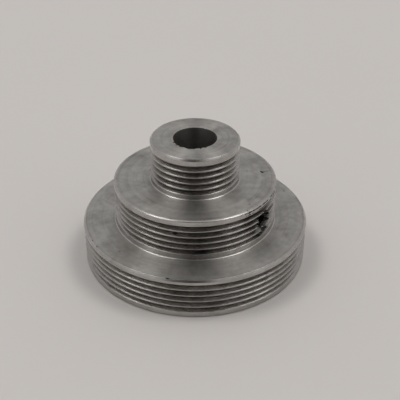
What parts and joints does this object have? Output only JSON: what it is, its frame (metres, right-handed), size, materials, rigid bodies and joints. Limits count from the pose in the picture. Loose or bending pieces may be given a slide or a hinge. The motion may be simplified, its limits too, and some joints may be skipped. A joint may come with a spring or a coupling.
{
  "type": "stepped multi-rib belt pulley",
  "caption": "Stepped belt pulley turned in one piece, with V-ribbed rims of falling size, a plain shaft bore and a radial set screw that locks it on the shaft.",
  "frame": {"origin": "on the shaft's axis, in the back face of the large step", "axes": "+Z along the shaft from the large step to the small one; +X to the right and -Y towards a person who looks at the pulley with its set screw at the right front"},
  "size_m": [0.081, 0.081, 0.0462],
  "materials": {
    "turned_aluminium": "turned, with fine concentric feed marks",
    "black_oxide_steel": "black oxide, lightly oiled"
  },
  "bodies": {
    "pulley": {"pulley_body": "turned_aluminium"},
    "screw": {"set_screw": "black_oxide_steel"}
  },
  "joints": [
    {"name": "set_screw_travel", "type": "slide", "parent": "pulley", "child": "screw", "axis": [0.8192, -0.5736, 0], "range_m": [-0.002, 0.022]}
  ]
}
